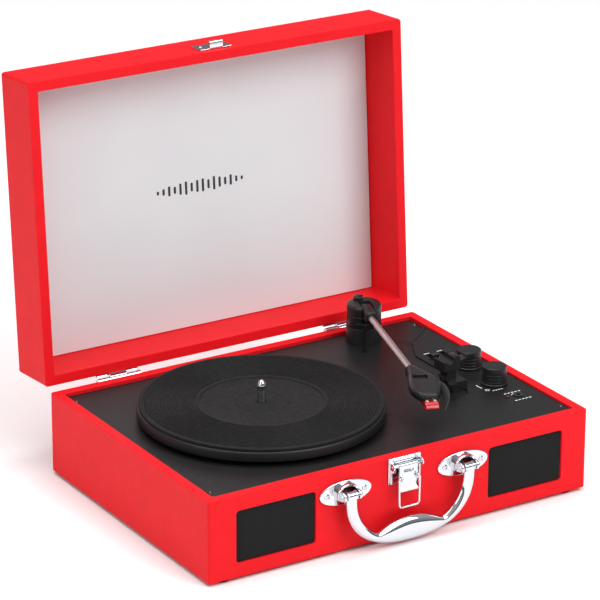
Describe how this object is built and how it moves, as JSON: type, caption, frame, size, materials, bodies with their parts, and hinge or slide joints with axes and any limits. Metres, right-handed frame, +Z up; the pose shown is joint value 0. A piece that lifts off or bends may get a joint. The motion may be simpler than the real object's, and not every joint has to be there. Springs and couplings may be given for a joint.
{
  "type": "suitcase record player",
  "caption": "Suitcase record player with hinged lid, platter, swinging tonearm, front speakers, control knobs, latch and folding carrying handle.",
  "frame": {"origin": "middle of the part's bounding box in x and y, at the underside of the feet", "axes": "+X to the right seen from the front, +Y to the back, +Z up; the lid stands open"},
  "size_m": [0.352, 0.3405, 0.3324],
  "materials": {
    "red_vinyl": "fine-grained red leatherette",
    "black_moulding": "fine satin texture",
    "black_gloss": "smooth semi-gloss",
    "black_rubber": "matt",
    "black_cloth": "woven speaker cloth",
    "fibreboard": "painted hardboard",
    "raw_wood": "sawn softwood",
    "chrome": "bright nickel plating",
    "dark_screw": "blackened",
    "paper_cone": "pressed paper",
    "zinc_steel": "zinc plated",
    "board": "green circuit board",
    "capacitor_sleeve": "shrink sleeve",
    "led_red": "clear red lens",
    "handle_silver": "silver plated moulding",
    "liner_white": "pale lining paper",
    "brass": "turned",
    "arm_silver": "satin anodised tube",
    "cartridge_white": "ceramic cartridge housing",
    "stylus_red": "red moulding"
  },
  "bodies": {
    "base": {"base_case": "red_vinyl", "base_bottom": "fibreboard", "corner_blocks": "raw_wood", "feet": "black_rubber", "bottom_screws": "dark_screw", "deck": "black_moulding", "deck_screws": "dark_screw", "left_grille": "black_cloth", "right_grille": "black_cloth", "left_speaker": "paper_cone", "right_speaker": "paper_cone", "left_speaker_magnet": "zinc_steel", "right_speaker_magnet": "zinc_steel", "amplifier_board": "board", "board_capacitors": "capacitor_sleeve", "rear_plate": "black_moulding", "rear_sockets": "chrome", "dc_inlet": "black_gloss", "headphone_jack": "black_gloss", "power_led": "led_red", "base_hinge_leaves": "chrome", "hinge_pins": "zinc_steel", "hinge_screws": "zinc_steel", "left_handle_bracket": "chrome", "right_handle_bracket": "chrome", "bracket_screws": "chrome", "latch_plate": "chrome", "latch_rivets": "chrome", "bearing_sleeve": "brass", "motor": "zinc_steel", "drive_belt": "black_rubber", "tonearm_base": "black_moulding", "arm_rest": "black_moulding"},
    "lid": {"lid_frame": "red_vinyl", "lid_panel": "red_vinyl", "lid_liner": "liner_white", "lid_hinge_leaves": "chrome", "lid_catch": "chrome", "catch_rivets": "chrome"},
    "handle": {"carrying_handle": "handle_silver"},
    "lever": {"latch_lever": "chrome"},
    "bail": {"latch_bail": "chrome"},
    "turntable": {"platter": "black_moulding", "platter_mat": "black_rubber", "spindle": "chrome"},
    "pulley": {"motor_pulley": "brass"},
    "turret": {"tonearm_turret": "black_moulding", "bias_screw": "black_gloss"},
    "arm": {"arm_tube": "arm_silver", "headshell": "black_moulding", "cartridge": "cartridge_white", "stylus": "stylus_red"},
    "clip": {"arm_clip": "black_gloss"},
    "cue": {"cue_lever": "black_gloss"},
    "lift": {"lift_bar": "black_gloss"},
    "volume": {"volume_knob": "black_gloss"},
    "tone": {"tone_knob": "black_gloss"},
    "speed": {"speed_slider": "black_gloss"},
    "auto_stop": {"auto_stop_slider": "black_gloss"}
  },
  "joints": [
    {"name": "lid_hinge", "type": "hinge", "parent": "base", "child": "lid", "pos_m": [0, 0.10354, 0.0685], "axis": [-1, 0, 0], "range_deg": [-94, 0]},
    {"name": "handle_swing", "type": "hinge", "parent": "base", "child": "handle", "pos_m": [0, -0.16446, 0.0523], "axis": [-1, 0, 0], "range_deg": [0, 150]},
    {"name": "latch_lever_turn", "type": "hinge", "parent": "base", "child": "lever", "pos_m": [0, -0.15946, 0.0645], "axis": [-1, 0, 0], "range_deg": [0, 150]},
    {"name": "latch_bail_turn", "type": "hinge", "parent": "lever", "child": "bail", "pos_m": [0, -0.16316, 0.055], "axis": [1, 0, 0], "range_deg": [-189, 0]},
    {"name": "platter_spin", "type": "hinge", "parent": "base", "child": "turntable", "pos_m": [-0.052, -0.02696, 0.0825], "axis": [0, 0, 1], "continuous": true},
    {"name": "pulley_spin", "type": "hinge", "parent": "base", "child": "pulley", "pos_m": [-0.12904, -0.06288, 0.0745], "axis": [0, 0, 1], "continuous": true},
    {"name": "arm_swing", "type": "hinge", "parent": "base", "child": "turret", "pos_m": [0.108, 0.07104, 0.0955], "axis": [0, 0, 1], "range_deg": [-26, 17]},
    {"name": "arm_lift", "type": "hinge", "parent": "turret", "child": "arm", "pos_m": [0.108, 0.07104, 0.0955], "axis": [-0.9563, 0.2924, 0], "range_deg": [-0.4, 18]},
    {"name": "clip_turn", "type": "hinge", "parent": "base", "child": "clip", "pos_m": [0.115, -0.05096, 0.0942], "axis": [0, -1, 0], "range_deg": [0, 165]},
    {"name": "cue_turn", "type": "hinge", "parent": "base", "child": "cue", "pos_m": [0.105, -0.05096, 0.079], "axis": [1, 0, 0], "range_deg": [0, 14]},
    {"name": "lift_slide", "type": "slide", "parent": "base", "child": "lift", "axis": [0, 0, 1], "range_m": [-0.003, 0]},
    {"name": "volume_turn", "type": "hinge", "parent": "base", "child": "volume", "pos_m": [0.1456, -0.06756, 0.0694], "axis": [0, 0, -1], "range_deg": [0, 300]},
    {"name": "tone_turn", "type": "hinge", "parent": "base", "child": "tone", "pos_m": [0.1482, -0.02696, 0.0694], "axis": [0, 0, -1], "range_deg": [0, 300]},
    {"name": "speed_slide", "type": "slide", "parent": "base", "child": "speed", "axis": [0, 1, 0], "range_m": [0, 0.0072]},
    {"name": "auto_stop_slide", "type": "slide", "parent": "base", "child": "auto_stop", "axis": [0, 1, 0], "range_m": [0, 0.0072]}
  ],
  "couplings": [
    {"joint": "pulley_spin", "follows": "platter_spin", "ratio": 23.064},
    {"joint": "cue_turn", "follows": "lift_slide", "rad_per_m": -81.449}
  ]
}
